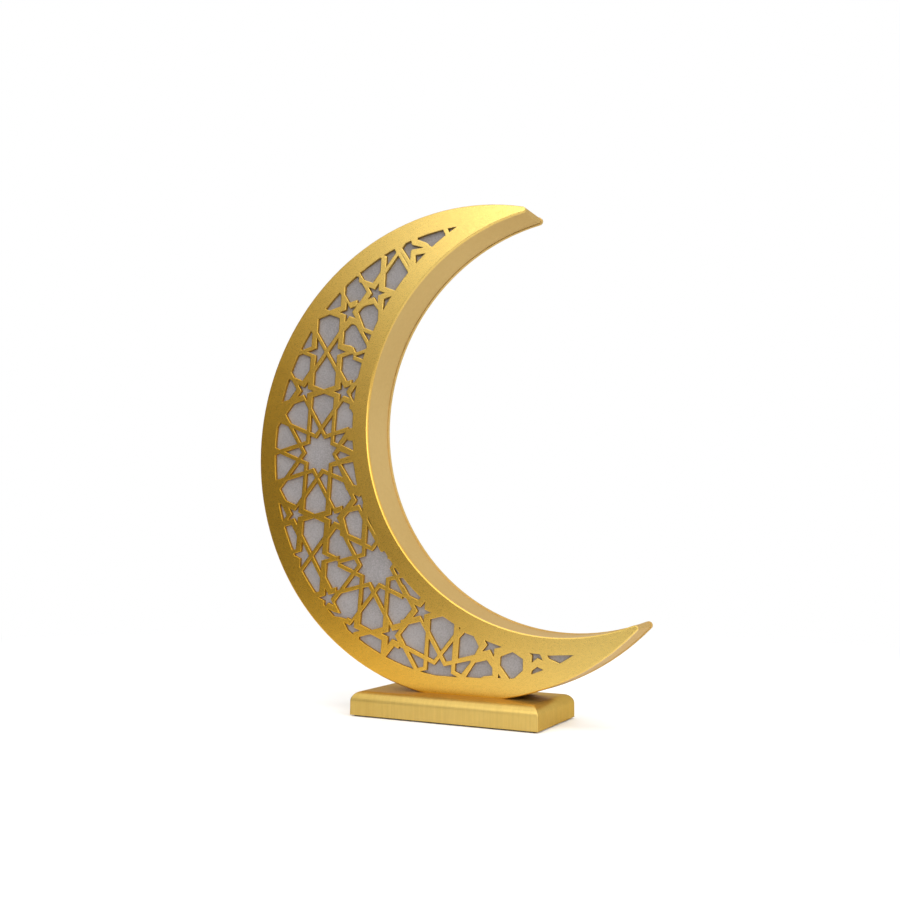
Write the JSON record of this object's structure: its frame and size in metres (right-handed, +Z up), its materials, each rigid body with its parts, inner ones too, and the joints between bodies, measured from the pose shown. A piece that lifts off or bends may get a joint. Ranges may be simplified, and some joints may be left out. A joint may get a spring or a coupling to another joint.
{
  "type": "crescent lantern",
  "caption": "Crescent moon lantern on a low block: pierced star-lattice front, frosted sheet behind it, lamp strip inside, rear cell holder with sliding cover and switch.",
  "frame": {"origin": "middle of the underside of the felt sheet under the block, on the surface the lantern stands on", "axes": "+X to the right along the lattice face, +Y from the lattice face to the back, +Z up"},
  "size_m": [0.3528, 0.082, 0.4256],
  "materials": {
    "gold_front": "gold lacquer, fine orange peel",
    "gold_wall": "satin gold foil on bent board",
    "gold_base": "satin gold lacquer",
    "back": "satin gold lacquer",
    "bare_wood": "sawn, unfinished",
    "frosted": "frosted acrylic sheet",
    "felt": "felt",
    "steel": "zinc plated",
    "black_plastic": "fine grain moulding",
    "cell": "satin sleeve",
    "tape": "flexible board",
    "lamp": "phosphor gel",
    "black_wire": "satin sheath",
    "red_wire": "satin sheath"
  },
  "bodies": {
    "lantern": {"base_block": "gold_base", "felt_sheet": "felt", "base_screws": "steel", "foot_block": "bare_wood", "front_panel": "gold_front", "diffuser_sheet": "frosted", "outer_wall_left": "gold_wall", "outer_wall_right": "gold_wall", "inner_wall": "gold_wall", "top_horn_block": "bare_wood", "bottom_horn_block": "bare_wood", "screw_blocks": "bare_wood", "back_panel": "back", "back_screws": "steel", "cell_holder": "black_plastic", "cells": "cell", "contact_springs": "steel", "contact_plates": "steel", "switch_body": "black_plastic", "lamp_strip": "tape", "lamps": "lamp", "wire_black": "black_wire", "wire_red": "red_wire", "switch_lead": "red_wire"},
    "cell_cover": {"cell_cover": "black_plastic"},
    "switch_knob": {"switch_knob": "black_plastic"}
  },
  "joints": [
    {"name": "cover_slide", "type": "slide", "parent": "lantern", "child": "cell_cover", "axis": [0, 0, 1], "range_m": [0, 0.04]},
    {"name": "switch_slide", "type": "slide", "parent": "lantern", "child": "switch_knob", "axis": [0, 0, 1], "range_m": [0, 0.004]}
  ]
}
